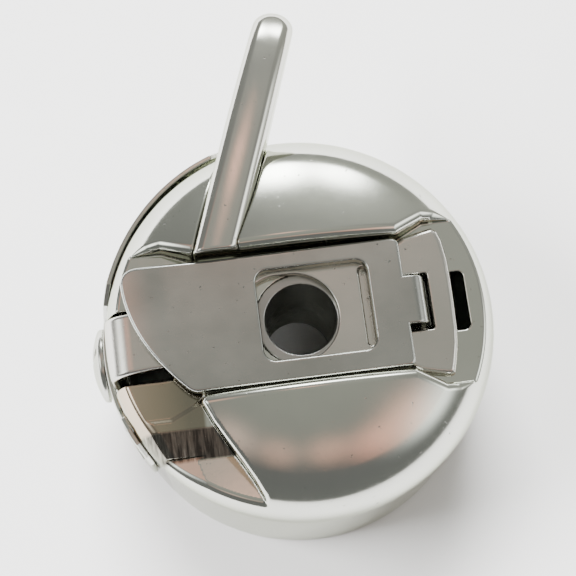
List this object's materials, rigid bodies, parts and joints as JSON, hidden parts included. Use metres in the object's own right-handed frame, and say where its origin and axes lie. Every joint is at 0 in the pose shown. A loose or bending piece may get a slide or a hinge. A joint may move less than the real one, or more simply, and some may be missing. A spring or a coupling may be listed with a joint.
{
  "type": "sewing bobbin case",
  "caption": "Round front-loading sewing bobbin case with position finger, hinged latch lever, sliding bobbin catch and leaf tension spring.",
  "frame": {"origin": "in the plane of the open rim, under the middle of the overall outline; the case axis stands at x 0.607 mm, y -3.7105 mm", "axes": "+Z along the case axis out of the latch face, +X along the latch channel towards the lever hinge, +Y towards the side the position finger stands out of"},
  "size_m": [0.024, 0.0302, 0.0154],
  "materials": {
    "plated_steel": "polished nickel plating",
    "satin_steel": "satin ground plating",
    "tube_steel": "turned",
    "leaf_steel": "polished spring leaf",
    "spring_wire": "drawn wire",
    "screw_steel": "plated screw"
  },
  "bodies": {
    "case": {"case_body": "plated_steel", "position_finger": "plated_steel", "stud_tube": "tube_steel", "latch_hinge_pin": "tube_steel", "tension_spring": "leaf_steel", "tension_clamp_screw": "screw_steel", "latch_spring": "spring_wire"},
    "slide": {"latch_slide": "satin_steel"},
    "lever": {"latch_lever": "satin_steel"},
    "tension_screw": {"tension_adjusting_screw": "screw_steel"}
  },
  "joints": [
    {"name": "lever_hinge", "type": "hinge", "parent": "case", "child": "lever", "pos_m": [0.00761, -0.00371, 0.01245], "axis": [0, 1, 0], "range_deg": [0, 80]},
    {"name": "slide_travel", "type": "slide", "parent": "case", "child": "slide", "axis": [1, 0, 0], "range_m": [0, 0.00141], "deforming": ["latch_spring"]},
    {"name": "tension_screw_turn", "type": "hinge", "parent": "case", "child": "tension_screw", "pos_m": [-0.01089, -0.00371, 0.0069], "axis": [-1, 0, 0], "range_deg": [-180, 180]}
  ],
  "couplings": [
    {"joint": "slide_travel", "follows": "lever_hinge", "m_per_rad": 0.0010027}
  ]
}
